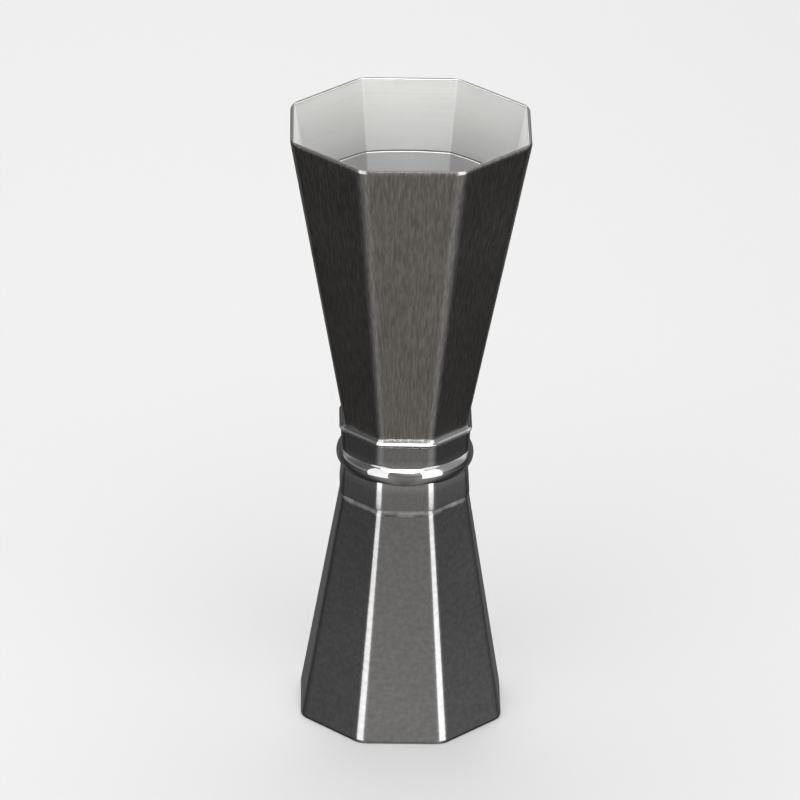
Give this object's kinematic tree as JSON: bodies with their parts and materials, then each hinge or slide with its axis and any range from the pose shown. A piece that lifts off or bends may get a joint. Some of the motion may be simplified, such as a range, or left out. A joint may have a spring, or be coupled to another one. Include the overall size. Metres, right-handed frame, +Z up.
{
  "type": "bar jigger",
  "caption": "Double-ended octagonal cocktail measure in brushed steel: a large and a small tapered cup back to back, joined by an octagonal waist collar with a polished round bead.",
  "frame": {"origin": "centre of the face the jigger stands on, the small cup's rim plane", "axes": "+Z up through both cups to the large cup's mouth; -Y towards the middle of a flat side"},
  "size_m": [0.0418, 0.0418, 0.112],
  "materials": {
    "upper_cup_steel": "vertical satin grain outside, bright satin inside, polished rim",
    "lower_cup_steel": "vertical satin grain",
    "collar_steel": "fine satin with a polished lip",
    "bead_polished": "mirror polished",
    "disc_steel": "plain sheet"
  },
  "bodies": {
    "root": {"upper_cup": "upper_cup_steel", "upper_collar": "collar_steel", "bead_ring": "bead_polished", "lower_collar": "collar_steel", "lower_cup": "lower_cup_steel", "joining_disc": "disc_steel"}
  },
  "joints": []
}
